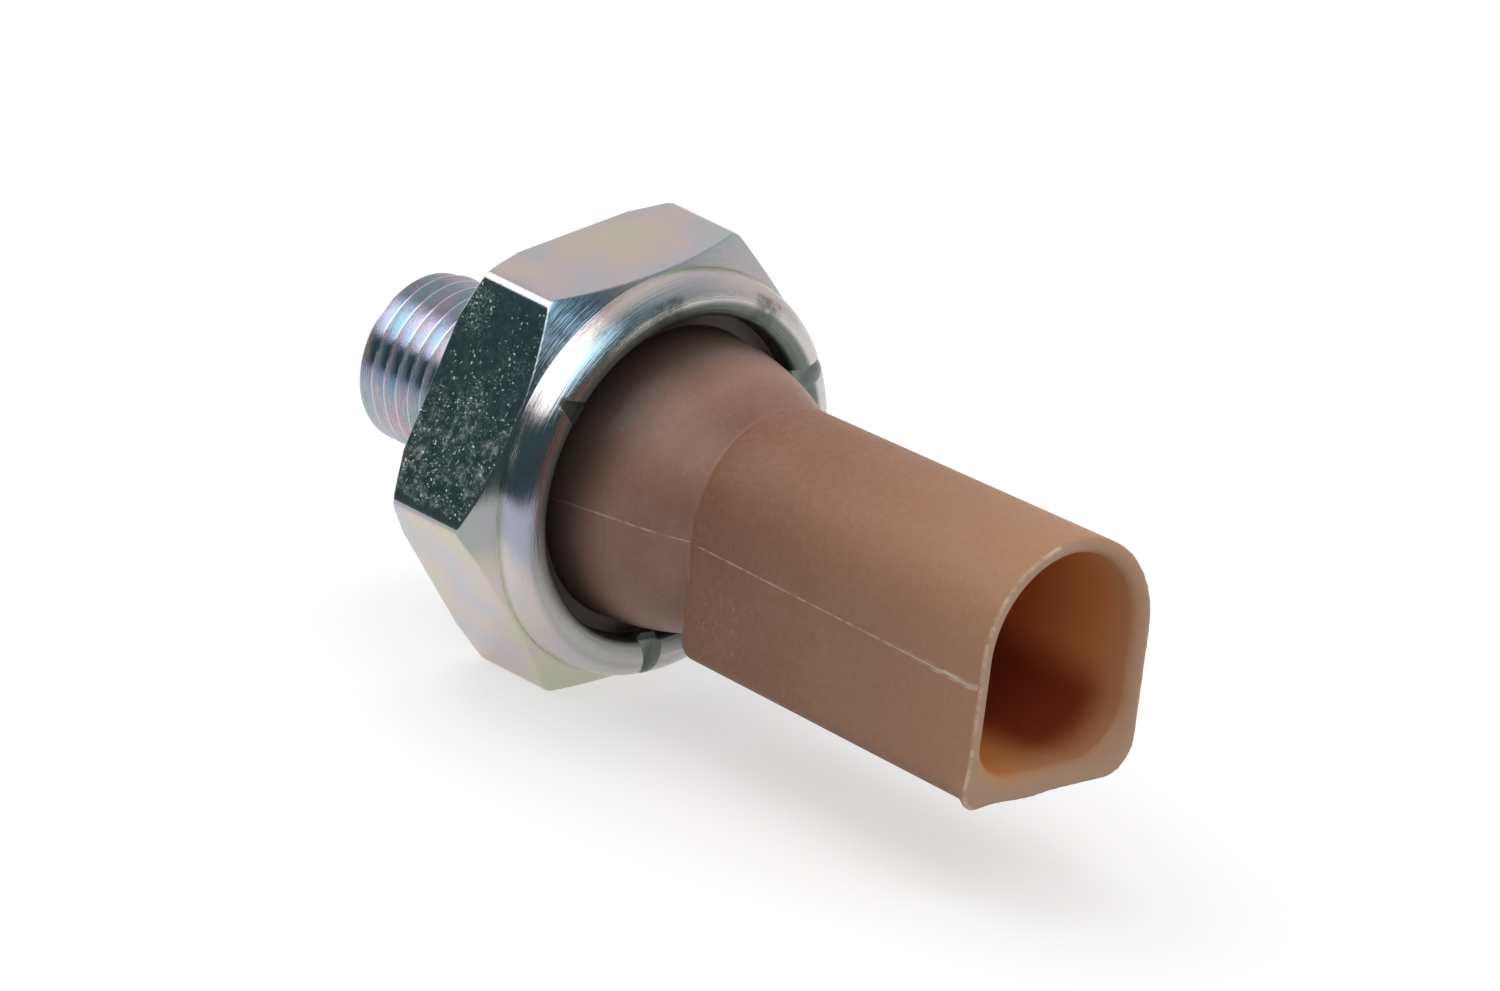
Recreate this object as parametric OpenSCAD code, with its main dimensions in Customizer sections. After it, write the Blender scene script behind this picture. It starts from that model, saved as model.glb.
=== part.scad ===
// Low oil pressure sender: a steel stud body with a hexagon, crimped over a plastic one-pin socket.
// The thread axis is X, and X grows from the thread towards the socket's mouth.
// The origin is the centre of the face that seals against the engine. +Z leaves the socket's round top.

/* [Stud] */
// Outside diameter of the thread
thread_d = 10; // [9:0.5:12]
// Length of the stud from the sealing face to its end
thread_len = 10.9; // [8:0.1:16]
// Chamfer at the stud's end
thread_chamfer = 0.4; // [0.3:0.1:1.2]
// Diameter of the undercut that keeps the sealing washer on
undercut_d = 8.8; // [8:0.1:8.9]
// Diameter of the oil port through the stud
port_d = 3.5; // [2:0.1:4.5]

/* [Sealing washer] */
// Radial width of the washer, from the edge that the thread holds captive
washer_w = 2.25; // [1.8:0.05:4]
// Thickness of the washer
washer_t = 1.5; // [1:0.1:2.5]

/* [Hexagon] */
// Width across the flats
hex_af = 24; // [23.5:0.5:30]
// Height from the underside to the foot of the collar
hex_h = 7.1; // [6.6:0.1:10]
// Radius of the long corners
hex_corner_r = 0.9; // [0.4:0.1:1.5]
// Turn of the first corner from the socket's top
hex_turn = 21.7; // [0:0.1:60]
// Angle of the turned chamfers at both ends
chamfer_angle = 31; // [20:1:40]
// Height of the lower chamfer at the corners
foot_chamfer = 0.7; // [0.3:0.1:1.2]

/* [Crimped collar] */
// Height of the rolled collar above the hexagon
collar_h = 2; // [1.6:0.1:2.6]
// Wall of the collar before it is rolled in
collar_wall = 1.2; // [0.8:0.05:1.4]
// How far the rolled lip reaches over the flange
lip_reach = 1.15; // [0.6:0.05:1.4]
// Thickness of the rolled lip
lip_t = 1.1; // [0.8:0.1:1.3]
// Turn of the first of the three staking notches from the socket's top
stake_turn = 62.5; // [0:0.5:119.5]
// Width of a notch at the lip's edge
stake_w = 1.6; // [1.2:0.1:2.2]
// How far a notch drives its tongue of metal in past the lip's edge
stake_reach = 0.35; // [0.2:0.05:0.5]

/* [Neck] */
// Diameter of the neck at the flange
neck_d = 17; // [16.4:0.2:17.6]
// Length of the neck from the flange to the socket
neck_len = 8.4; // [7:0.2:12]
// Full width of the neck where it meets the socket
neck_end_w = 11.7; // [10.8:0.1:11.8]
// Height of the neck above the axis where it meets the socket
neck_end_top = 6.6; // [5.9:0.1:6.8]
// Depth of the neck below the axis where it meets the socket
neck_end_drop = 6.35; // [5.9:0.05:6.8]
// How far the neck bulges out between its ends
neck_bulge = 0.25; // [0:0.05:0.4]
// Depth of the groove in the flange round the neck's root
root_groove = 0.6; // [0.3:0.1:0.6]

/* [Socket] */
// Length of the D-shaped socket outside
socket_len = 23.6; // [20:0.2:32]
// Outside width at the back
socket_back_w = 11.9; // [11.9:0.1:13]
// Outside width at the mouth
socket_mouth_w = 12.6; // [12:0.1:14]
// Outside height at the back
socket_back_h = 14; // [13.8:0.1:15]
// Outside height at the mouth
socket_mouth_h = 14.7; // [13.8:0.1:16]
// Distance of the flat bottom below the thread axis
socket_drop = 7; // [6.9:0.05:7.4]
// Radius of the bottom corner on the -Y side
socket_corner_minus = 1.4; // [1:0.1:2.4]
// Radius of the bottom corner on the +Y side
socket_corner_plus = 2; // [1:0.1:2.4]
// Wall thickness of the sides and the round top
socket_wall = 1; // [0.8:0.05:1.4]
// Wall thickness of the flat bottom
socket_bottom = 1.3; // [0.9:0.05:1.5]
// Depth of the hollow from the mouth
socket_depth = 21; // [16:0.5:21.5]
// Rounding of the outer rims
rim_r = 0.4; // [0.2:0.1:0.5]

/* [Terminal] */
// Width of the flat blade
blade_w = 6.3; // [4.8:0.1:6.4]
// Thickness of the flat blade
blade_t = 0.8; // [0.6:0.1:1]
// Free length of the blade in the socket
blade_len = 11; // [8:0.5:14]
// Width of the tang that passes through the web
tang_w = 2; // [1.6:0.1:2.2]
// Depth of the blade's shoulders in the web
blade_root = 1.5; // [1:0.1:1.8]

/* [Switch] */
// Working travel of the contact disc
travel = 0.4; // [0.2:0.05:0.5]
// Thickness of the diaphragm
film_t = 0.25; // [0.15:0.05:0.4]
// Thickness of the rubber ring under the diaphragm
seal_t = 0.6; // [0.4:0.1:0.9]
// Thickness of the stamped contact plate
plate_t = 0.8; // [0.5:0.05:1]
// Height of the plate's raised middle above its rim
hat_h = 1.8; // [1.6:0.1:2]
// Diameter of the plate's raised middle
hat_d = 13.6; // [12.6:0.2:14]
// Diameter of the tappet's stem
stem_d = 3.4; // [2.8:0.1:3.8]
// Diameter of the contact disc
disc_d = 8.4; // [7.6:0.1:8.8]
// Thickness of the contact disc
disc_t = 0.5; // [0.4:0.05:0.7]
// Wire diameter of the spring
wire_d = 0.6; // [0.4:0.05:0.7]
// Mean diameter of the spring
coil_d = 5.2; // [5:0.1:5.6]
// Number of turns of the spring
turns = 5; // [3:1:7]

/* [Hidden] */
steel = "silver";
brown = [0.60, 0.44, 0.35];
$fn = 96;
thin = 0.02;

// Clearances of the fits
flange_gap = 0.1;
stem_gap = 0.1;
disc_gap = 0.02;
washer_catch = 0.25;
hat_gap = 0.15;
hat_headroom = 0.3;
disc_room = 0.6;
seat_gap = 0.1;

// Steel body, measured along X from the sealing face
hex_foot = washer_t;
hex_top = hex_foot + hex_h;
collar_top = hex_top + collar_h;
foot_neck = 0.1;
floor_t = 2.1;
chamber_depth = 0.8;
chamber_r = 7.2;
shoulder_x = hex_foot + floor_t + chamber_depth;
collar_r = hex_af / 2 - 0.15;
cavity_r = collar_r - collar_wall;
flange_top = collar_top - lip_t;
lip_r = cavity_r - lip_reach;
corner_reach = hex_af / sqrt(3) - hex_corner_r * (2 / sqrt(3) - 1);
stake_tip_r = collar_r - 0.6;
stake_tip_x = collar_top - 0.3;
stake_tip_w = 0.5;
stake_slope = 12;
tongue_t = 0.4;

// Stack inside the cavity, from the shoulder up
film_x = shoulder_x + seal_t;
plate_x = film_x + film_t;
flange_x = plate_x + plate_t;
hat_x = plate_x + hat_h;
hat_top = hat_x + plate_t;
disc_x = hat_top + disc_gap;
disc_top = disc_x + disc_t;
foot_t = hat_h - travel - 0.3;
stack_r = cavity_r - 0.15;
flange_r = cavity_r - flange_gap;

// Socket and the web that closes its inner end
socket_x = flange_top + neck_len;
mouth_x = socket_x + socket_len;
floor_x = mouth_x - socket_depth;
web_t = 3;
disc_chamber_top = hat_top + 2.9;
hollow_corner = 1.1;
spring_top = floor_x - web_t;
spring_seat_t = 0.6;
seat_boss_h = 0.8;
seat_x = spring_top - spring_seat_t;
seat_r = 3.6;
boss_r = coil_d / 2 - wire_d / 2 - 0.3;
disc_boss_h = 0.6;
stake_r = 1.5;
stake_t = 0.4;

// Draws along Z and lays it along X, with the drawing's x and y as Y and Z
module along_x() rotate([90, 0, 90]) children();

// Ring of a plain rectangular section from x0 to x1
module ring(x0, x1, inner, outer) {
    translate([0, 0, x0]) rotate_extrude() translate([inner, 0]) square([outer - inner, x1 - x0]);
}

// Outline of the hexagon with rounded corners
module hex_outline() {
    centre = 2 / sqrt(3) * (hex_af / 2 - hex_corner_r);
    polygon([
        for (side = [0:5], step = [-2:2])
            let (at = 90 - hex_turn - 60 * side, lean = at - step * 15)
                centre * [cos(at), sin(at)] + hex_corner_r * [cos(lean), sin(lean)]
    ]);
}

// Turned outline that chamfers both ends of the hexagon
module hex_turning() {
    slope = tan(chamfer_angle);
    foot_r = corner_reach - foot_chamfer / slope;
    top_drop = (corner_reach - collar_r) * slope;
    rotate_extrude() polygon([
        [0, hex_foot], [foot_r, hex_foot],
        [corner_reach + 1, hex_foot + foot_chamfer + slope],
        [corner_reach + 1, hex_top - top_drop - slope],
        [collar_r, hex_top], [0, hex_top]
    ]);
}

// Section of the rolled collar: a swelling outside, a blunt lip edge and a flat underside
module collar_section() {
    swell_w = collar_wall + 0.2;
    swell_h = collar_h - 0.3;
    foot = hex_top + 0.3;
    lip_edge = collar_top - 0.3;
    polygon(concat(
        [[cavity_r - 0.5, hex_top - 1], [collar_r, hex_top - 1]],
        [for (a = [0:10:90]) [collar_r - swell_w * (1 - cos(a)), foot + swell_h * sin(a)]],
        [for (a = [90:30:180]) [lip_r + 0.25 + 0.25 * cos(a), lip_edge + 0.15 * sin(a)]],
        [[lip_r, flange_top], [cavity_r - 0.5, flange_top]]
    ));
}

// Wedge that a punch cuts into the lip: narrow and shallow outside, wide and deep at the lip's edge
module stake_cut() {
    run = stake_tip_r - lip_r;
    far = run + 1.5;
    half = stake_tip_w / 2;
    far_half = half + (stake_w / 2 - half) * far / run;
    translate([stake_tip_r, 0, stake_tip_x]) rotate([0, -stake_slope, 0]) linear_extrude(collar_h)
        polygon([[0, -half], [0, half], [-far, far_half], [-far, -far_half]]);
}

// Metal that the punch drives in past the lip's edge
module stake_tongue() {
    grip = 0.3;
    translate([lip_r - stake_reach, 0, flange_top]) linear_extrude(tongue_t) polygon([
        [0, -stake_w * 0.3], [0, stake_w * 0.3],
        [stake_reach + grip, stake_w * 0.45], [stake_reach + grip, -stake_w * 0.45]
    ]);
}

module each_stake() {
    for (turn = [0:120:240]) rotate(90 - stake_turn - turn) children();
}

// Everything that is turned and rolled: stud, hexagon, cavity and collar
module turned_body() {
    stud_r = thread_d / 2;
    straight = thread_len - thread_chamfer;
    bore_end = 1;
    difference() {
        union() {
            translate([0, 0, -thread_len])
                cylinder(h = thread_chamfer, r1 = stud_r - thread_chamfer, r2 = stud_r);
            translate([0, 0, -straight]) cylinder(h = straight, r = stud_r);
            cylinder(h = hex_foot + foot_neck, d = undercut_d);
            intersection() {
                translate([0, 0, hex_foot]) linear_extrude(hex_h) hex_outline();
                hex_turning();
            }
            rotate_extrude() collar_section();
        }
        translate([0, 0, -thread_len - bore_end]) cylinder(h = thread_len + shoulder_x, d = port_d);
        translate([0, 0, hex_foot + floor_t]) cylinder(h = chamber_depth + bore_end, r = chamber_r);
        translate([0, 0, shoulder_x]) cylinder(h = flange_top - shoulder_x, r = cavity_r);
        translate([0, 0, flange_top - bore_end]) cylinder(h = collar_h + 2 * bore_end, r = lip_r);
    }
}

// One piece of steel: the turned body with three notches punched in its lip
module hex_body() {
    color(steel) along_x() union() {
        difference() {
            turned_body();
            each_stake() stake_cut();
        }
        each_stake() stake_tongue();
    }
}

// The bore flares at both faces, so the flat that seals clears the thread that holds the washer captive
module seal_washer() {
    inner = thread_d / 2 - washer_catch;
    outer = inner + washer_w;
    flare = 2 * washer_catch;
    edge = 0.1 * washer_w;
    color("gainsboro") along_x() rotate_extrude() polygon([
        [inner + flare, 0], [outer - edge, 0], [outer, edge],
        [outer, washer_t - edge], [outer - edge, washer_t], [inner + flare, washer_t],
        [inner, washer_t * 0.7], [inner, washer_t * 0.3]
    ]);
}

// Thin slice of the D outline: half width, round top, flat bottom with two small corners
module d_slice(x, half_w, top, drop, extra = 0) {
    minus = socket_corner_minus + extra;
    plus = socket_corner_plus + extra;
    translate([0, top - half_w, x]) cylinder(h = thin, r = half_w);
    translate([minus - half_w, minus - drop, x]) cylinder(h = thin, r = minus);
    translate([half_w - plus, plus - drop, x]) cylinder(h = thin, r = plus);
}

module socket_outside() {
    back_top = socket_back_h - socket_drop;
    mouth_top = socket_mouth_h - socket_drop;
    hull() {
        d_slice(socket_x, socket_back_w / 2 - rim_r, back_top - rim_r, socket_drop - rim_r);
        d_slice(socket_x + rim_r, socket_back_w / 2, back_top, socket_drop);
        d_slice(mouth_x - rim_r, socket_mouth_w / 2, mouth_top, socket_drop);
        d_slice(mouth_x - thin, socket_mouth_w / 2 - rim_r, mouth_top - rim_r, socket_drop - rim_r);
    }
}

module socket_hollow() {
    top = socket_mouth_h - socket_drop - socket_wall;
    drop = socket_drop - socket_bottom;
    half_w = socket_mouth_w / 2 - socket_wall;
    draft = (socket_mouth_w - socket_back_w) / 2;
    hull() {
        d_slice(floor_x, half_w - draft, top - draft, drop, hollow_corner);
        d_slice(mouth_x + rim_r, half_w, top, drop, hollow_corner);
    }
}

// The neck runs from the round flange to an oval just inside the socket's outline, flatter below than above.
// Its last slice lies within the web, so the two are one piece.
module neck() {
    root = neck_d / 2;
    slices = 5;
    hull() for (step = [0:slices + 1]) {
        t = min(step / slices, 1);
        half_w = root + (neck_end_w / 2 - root) * t + neck_bulge * sin(180 * pow(t, 2));
        top = root + (neck_end_top - root) * pow(t, 2) + neck_bulge * 1.2 * sin(180 * t);
        drop = root + (neck_end_drop - root) * pow(t, 1.5) + neck_bulge * 0.8 * sin(180 * t);
        translate([0, (top - drop) / 2, flange_top + step / slices * neck_len])
            scale([half_w / root, (top + drop) / 2 / root, 1]) cylinder(h = thin, r = root);
    }
}

// Slot that the blade and its tang fill
module blade_shape(from, to, width) {
    translate([-width / 2, -blade_t / 2, from]) cube([width, blade_t, to - from]);
}

groove_x = (flange_x + flange_top) / 2;
ring_r = 0.55;
groove_half = ring_r + 0.1;

// Round flange that the collar is rolled over, with a groove round the neck's root
module flange() {
    root_x = flange_top - root_groove;
    difference() {
        union() {
            ring(flange_x, flange_top, hat_d / 2, flange_r);
            translate([0, 0, hat_top]) cylinder(h = flange_top - hat_top, r = flange_r);
        }
        ring(root_x, flange_top + 1, 1, lip_r);
        ring(groove_x - groove_half, groove_x + groove_half, cavity_r - 2 * ring_r, flange_r + 1);
    }
    translate([0, 0, root_x - thin]) cylinder(h = root_groove + 2 * thin, r = neck_d / 2 - thin);
}

// Rooms for the contact plate, the disc and the spring, one behind the other
module switch_rooms() {
    hat_end = hat_top + hat_headroom;
    translate([0, 0, flange_x - 1]) cylinder(h = hat_end - flange_x + 1, r = hat_d / 2 + hat_gap);
    translate([0, 0, hat_top]) cylinder(h = disc_chamber_top - hat_top, r = disc_d / 2 + disc_room);
    translate([0, 0, hat_top]) cylinder(h = spring_top - hat_top, r = seat_r + seat_gap);
}

module connector_housing() {
    color(brown) along_x() difference() {
        union() {
            flange();
            neck();
            socket_outside();
        }
        socket_hollow();
        switch_rooms();
        blade_shape(floor_x - blade_root, floor_x + 1, blade_w);
        blade_shape(spring_top - 1, floor_x, tang_w);
    }
}

module housing_o_ring() {
    color("dimgray") along_x() translate([0, 0, groove_x])
        rotate_extrude() translate([cavity_r - ring_r, 0]) circle(r = ring_r, $fn = 32);
}

module terminal_blade() {
    bevel = 1;
    straight_end = floor_x + blade_len - bevel;
    half = blade_w / 2;
    stake_x = seat_x - seat_boss_h;
    color("gold") along_x() union() {
        blade_shape(floor_x - blade_root, straight_end, blade_w);
        translate([0, blade_t / 2, straight_end]) rotate([90, 0, 0]) linear_extrude(blade_t)
            polygon([[-half, 0], [half, 0], [half - bevel, bevel], [bevel - half, bevel]]);
        blade_shape(stake_x - 0.1, floor_x, tang_w);
        translate([0, 0, stake_x - stake_t]) cylinder(h = stake_t, r = stake_r);
    }
}

module spring_seat() {
    color(steel) along_x() difference() {
        union() {
            translate([0, 0, seat_x]) cylinder(h = spring_seat_t, r = seat_r);
            translate([0, 0, seat_x - seat_boss_h]) cylinder(h = seat_boss_h, r = boss_r);
        }
        blade_shape(seat_x - seat_boss_h - 1, spring_top + 1, tang_w);
    }
}

// Spring: a ring of points swept along the coil, with closed end turns
module contact_spring() {
    sides = 8;
    per_turn = 24;
    start = disc_top + wire_d / 2;
    reach = seat_x - wire_d / 2 - start;
    count = turns * per_turn;
    function rise(t) = t < 0.5 ? t * wire_d : t > turns - 0.5 ? reach - (turns - t) * wire_d
        : wire_d / 2 + (t - 0.5) / (turns - 1) * (reach - wire_d);
    points = [
        for (i = [0:count], j = [0:sides - 1])
            let (t = i / per_turn, a = 360 * t, b = 360 * j / sides, r = coil_d / 2 + wire_d / 2 * cos(b))
                [r * cos(a), r * sin(a), start + rise(t) + wire_d / 2 * sin(b)]
    ];
    skin = [
        for (i = [0:count - 1], j = [0:sides - 1])
            let (a = i * sides + j, b = i * sides + (j + 1) % sides)
                [a, a + sides, b + sides, b]
    ];
    first = [for (j = [0:sides - 1]) j];
    last = [for (j = [sides - 1:-1:0]) count * sides + j];
    color("gray") along_x() polyhedron(points, concat(skin, [first], [last]));
}

module contact_disc() {
    color("khaki") along_x() union() {
        translate([0, 0, disc_x]) cylinder(h = disc_t, d = disc_d);
        translate([0, 0, disc_top]) cylinder(h = disc_boss_h, r = boss_r);
    }
}

module tappet() {
    foot_x = plate_x + disc_gap;
    foot_r = hat_d / 2 - plate_t - 0.5;
    color("ivory") along_x() union() {
        translate([0, 0, foot_x]) cylinder(h = foot_t, r = foot_r);
        translate([0, 0, foot_x]) cylinder(h = hat_top - foot_x, d = stem_d);
    }
}

module contact_plate() {
    hat_r = hat_d / 2;
    hole_r = stem_d / 2 + stem_gap;
    color("tan") along_x() rotate_extrude() polygon([
        [hat_r - plate_t, plate_x], [stack_r, plate_x], [stack_r, flange_x], [hat_r, flange_x],
        [hat_r, hat_top], [hole_r, hat_top], [hole_r, hat_x], [hat_r - plate_t, hat_x]
    ]);
}

module diaphragm() {
    color("orange") along_x() translate([0, 0, film_x]) cylinder(h = film_t, r = stack_r);
}

module diaphragm_seal() {
    color("dimgray") along_x() ring(shoulder_x, film_x, chamber_r + 0.3, stack_r);
}

hex_body();
seal_washer();
connector_housing();
housing_o_ring();
terminal_blade();
spring_seat();
contact_spring();
contact_disc();
tappet();
contact_plate();
diaphragm();
diaphragm_seal();
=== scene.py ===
import math

import bmesh
import bpy
from mathutils import Matrix, Vector, noise

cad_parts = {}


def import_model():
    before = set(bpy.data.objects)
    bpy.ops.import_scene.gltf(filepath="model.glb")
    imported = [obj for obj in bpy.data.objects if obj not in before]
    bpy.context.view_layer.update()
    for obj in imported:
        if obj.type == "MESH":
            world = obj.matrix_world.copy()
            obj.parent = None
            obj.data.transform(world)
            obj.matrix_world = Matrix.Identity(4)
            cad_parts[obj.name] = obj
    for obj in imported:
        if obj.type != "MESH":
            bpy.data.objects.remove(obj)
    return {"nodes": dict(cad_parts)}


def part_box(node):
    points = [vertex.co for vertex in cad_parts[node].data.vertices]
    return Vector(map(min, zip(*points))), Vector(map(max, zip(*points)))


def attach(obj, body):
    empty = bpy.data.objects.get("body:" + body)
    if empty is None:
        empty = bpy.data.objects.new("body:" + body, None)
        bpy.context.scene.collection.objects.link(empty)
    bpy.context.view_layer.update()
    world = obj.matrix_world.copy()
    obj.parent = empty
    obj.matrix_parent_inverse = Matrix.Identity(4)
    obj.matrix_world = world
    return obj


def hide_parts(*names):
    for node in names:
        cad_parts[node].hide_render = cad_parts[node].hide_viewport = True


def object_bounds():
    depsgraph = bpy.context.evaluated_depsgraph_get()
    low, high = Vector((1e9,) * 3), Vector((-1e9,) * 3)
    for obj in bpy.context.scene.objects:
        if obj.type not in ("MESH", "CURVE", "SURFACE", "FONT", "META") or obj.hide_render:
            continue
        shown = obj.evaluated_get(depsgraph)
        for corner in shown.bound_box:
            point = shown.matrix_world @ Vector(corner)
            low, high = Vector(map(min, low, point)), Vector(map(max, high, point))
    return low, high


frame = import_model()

cad_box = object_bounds()

# The row frame: X along the thread axis, origin at the sealing face. Sizes are in millimetres.
MM = 0.001


def across(node, side):
    """One end of a CAD node along X, in millimetres."""
    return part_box(node)[side][0] / MM


# Places along X, from the frame
stud_end = across("hex_body", 0)
collar_top = across("hex_body", 1)
hex_foot = across("seal_washer", 1)
flange_foot = across("connector_housing", 0)
mouth = across("connector_housing", 1)
spring_top = across("spring_seat", 1)

# Steel body
stud_r = 5.0
stud_chamfer = 0.4
pitch = 1.0
crest_phase = 0.27
port_r = 1.75
undercut_r = 4.4
hex_half = 12.0
hex_corner = 0.9
hex_turn = 21.7
hex_top = 8.6
chamfer_slope = math.tan(math.radians(31))
collar_r = 11.85
cavity_r = 10.65
lip_r = 9.5
lip_under = 9.5
shoulder = 4.4
chamber_floor = 3.6
chamber_r = 7.2
stake_tips = {62.5: 11.75, 182.5: 11.75, 302.5: 11.25}
stake_floor = 9.93
stake_reach = 0.35
swell_w, swell_h = 1.4, collar_top - hex_top - 0.35
smudge_angles = (346.6, 28.9)

# Plastic housing
flange_r = 10.55
neck_r = 8.5
root_x = 8.9
neck_end = (5.85, 6.6, 6.0)
neck_bulge = 0.25
socket_back = 17.9
socket_floor = 20.5
back_size = (5.95, 7.05, 7.0)
mouth_size = (6.3, 7.7, 7.0)
wall = 1.0
bottom_wall = 1.3
rim = 0.25
inner_rim = 0.7
back_rim = 0.5
corners_back = (1.4, 1.7)
corners_mouth = (1.3, 2.1)
corners_inside = (2.5, 3.1)


# Camera, from the nine visible corners of the hexagon and the outline of the stud
image_w, image_h = 1500, 991
view_azimuth = 45.02
view_elevation = 20.26
view_roll = 7.28
view_distance = 1000.0
pixels_per_mm = 18.097
hex_front = Vector((7.5, 0, 0))
hex_front_px = (642.4, 462.6)


def polar(x, r, angle):
    """A point at radius r round the axis, with angle in degrees from +Z towards +Y."""
    a = math.radians(angle)
    return (x, r * math.sin(a), r * math.cos(a))


def wobble(x, y, z, scale=1.0):
    """Smooth seeded noise from -1 to 1."""
    return noise.noise(Vector((x, y, z)) * scale)


def rounded(points, radii, steps=4):
    """A path of (x, r) points with each inner corner rounded. Every corner gives the same count of points."""
    path = [points[0]]
    for before, here, after, radius in zip(points, points[1:], points[2:], radii):
        here_v = Vector(here)
        to_before, to_after = Vector(before) - here_v, Vector(after) - here_v
        room = 0.48 * min(to_before.length, to_after.length)
        cut = min(radius, room)
        start = here_v + to_before.normalized() * cut
        end = here_v + to_after.normalized() * cut
        for i in range(steps + 1):
            t = i / steps
            path.append(tuple(start * (1 - t) ** 2 + here_v * 2 * t * (1 - t) + end * t * t))
    path.append(points[-1])
    return path


def skin(columns, ring=False):
    """Vertices and faces of a closed surface round the axis. columns holds one list of points per angle.
    With ring the first and last points of each column are joined too."""
    count = len(columns[0])
    verts = [point for column in columns for point in column]
    faces = []
    for c in range(len(columns)):
        left, right = c * count, (c + 1) % len(columns) * count
        for i in range(count if ring else count - 1):
            j = (i + 1) % count
            faces.append((left + i, left + j, right + j, right + i))
    return verts, faces


def solid(name, parts, material, sharp=None):
    """One mesh object from (vertices, faces) parts in millimetres, welded, with its normals outwards.
    A part's third item, where it has one, gives the vertices named shares from 0 to 1 for the material.
    Edges that turn by more than sharp degrees stay crisp."""
    bm = bmesh.new()
    layers = {key: bm.verts.layers.float.new(key) for part in parts for key in (part[2] if len(part) > 2 else {})}
    for part in parts:
        made = [bm.verts.new([c * MM for c in v]) for v in part[0]]
        for key, values in (part[2] if len(part) > 2 else {}).items():
            for vert, value in zip(made, values):
                vert[layers[key]] = value
        for face in part[1]:
            bm.faces.new([made[i] for i in face])
    bmesh.ops.remove_doubles(bm, verts=bm.verts, dist=2e-7)
    bmesh.ops.dissolve_degenerate(bm, edges=bm.edges, dist=1e-7)
    bmesh.ops.recalc_face_normals(bm, faces=bm.faces)
    for face in bm.faces:
        face.smooth = True
    mesh = bpy.data.meshes.new(name)
    bm.to_mesh(mesh)
    bm.free()
    mesh.materials.append(material)
    if sharp:
        mesh.set_sharp_from_angle(angle=math.radians(sharp))
    piece = bpy.data.objects.new(name, mesh)
    bpy.context.scene.collection.objects.link(piece)
    weight = piece.modifiers.new("even_normals", "WEIGHTED_NORMAL")
    weight.weight = 60
    weight.keep_sharp = bool(sharp)
    return piece


# Material helpers
def material(name):
    made = bpy.data.materials.new(name)
    made.use_nodes = True
    nodes, links = made.node_tree.nodes, made.node_tree.links
    return made, nodes, links, nodes["Principled BSDF"]


def add(nodes, kind, **inputs):
    node = nodes.new(kind)
    for key, value in inputs.items():
        socket = key.replace("_", " ")
        if socket in node.inputs:
            node.inputs[socket].default_value = value
        else:
            setattr(node, key, value)
    return node


def place(nodes):
    """The piece's own coordinates, in metres."""
    return nodes.new("ShaderNodeTexCoord").outputs["Object"]


def turned(nodes, links):
    """The piece's own coordinates in millimetres, the distance from the axis, the angle in radians, and a
    vector whose noise runs in long streaks round the axis."""
    scaled = add(nodes, "ShaderNodeVectorMath", operation="SCALE", Scale=1 / MM)
    links.new(place(nodes), scaled.inputs[0])
    parts = nodes.new("ShaderNodeSeparateXYZ")
    links.new(scaled.outputs["Vector"], parts.inputs[0])
    x, y, z = parts.outputs
    squares = [math_node(nodes, links, "MULTIPLY", v, v) for v in (y, z)]
    reach = math_node(nodes, links, "SQRT", math_node(nodes, links, "ADD", *squares), 0)
    angle = math_node(nodes, links, "ARCTAN2", y, z)
    streaks = nodes.new("ShaderNodeCombineXYZ")
    for socket, value in zip(streaks.inputs, (x, reach, math_node(nodes, links, "MULTIPLY", angle, 0.35))):
        links.new(value, socket)
    return scaled.outputs["Vector"], x, reach, angle, streaks.outputs["Vector"]


def near_angle(nodes, links, angle, degrees, full, none):
    """1 within full degrees of an angle, fading to 0 at none degrees."""
    off = math_node(nodes, links, "COSINE", math_node(nodes, links, "SUBTRACT", angle, math.radians(degrees)), 0)
    return span(nodes, links, off, math.cos(math.radians(none)), math.cos(math.radians(full)), 0, 1, True)


def product(nodes, links, first, *others):
    for other in others:
        first = math_node(nodes, links, "MULTIPLY", first, other)
    return first


def share(nodes, key):
    """A share from 0 to 1 that the mesh carries."""
    node = nodes.new("ShaderNodeAttribute")
    node.attribute_name = key
    return node.outputs["Fac"]


def noise_map(nodes, links, vector, scale, detail=3.0, roughness=0.5):
    node = add(nodes, "ShaderNodeTexNoise", Scale=scale, Detail=detail, Roughness=roughness)
    links.new(vector, node.inputs["Vector"])
    return node.outputs["Fac"]


def ramp(nodes, links, value, stops):
    """A colour ramp through (place, colour) stops."""
    node = nodes.new("ShaderNodeValToRGB")
    elements = node.color_ramp.elements
    for spot, colour in stops[2:]:
        elements.new(spot)
    for element, (spot, colour) in zip(elements, sorted(stops)):
        element.position = spot
        element.color = (*colour, 1)
    links.new(value, node.inputs["Fac"])
    return node.outputs["Color"]


def span(nodes, links, value, low, high, to_low, to_high, smooth=False):
    node = add(nodes, "ShaderNodeMapRange", From_Min=low, From_Max=high, To_Min=to_low, To_Max=to_high)
    if smooth:
        node.interpolation_type = "SMOOTHSTEP"
    links.new(value, node.inputs["Value"])
    return node.outputs["Result"]


def math_node(nodes, links, operation, first, second):
    node = nodes.new("ShaderNodeMath")
    node.operation = operation
    for socket, value in zip(node.inputs, (first, second)):
        if isinstance(value, (int, float)):
            socket.default_value = value
        else:
            links.new(value, socket)
    return node.outputs["Value"]


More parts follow.
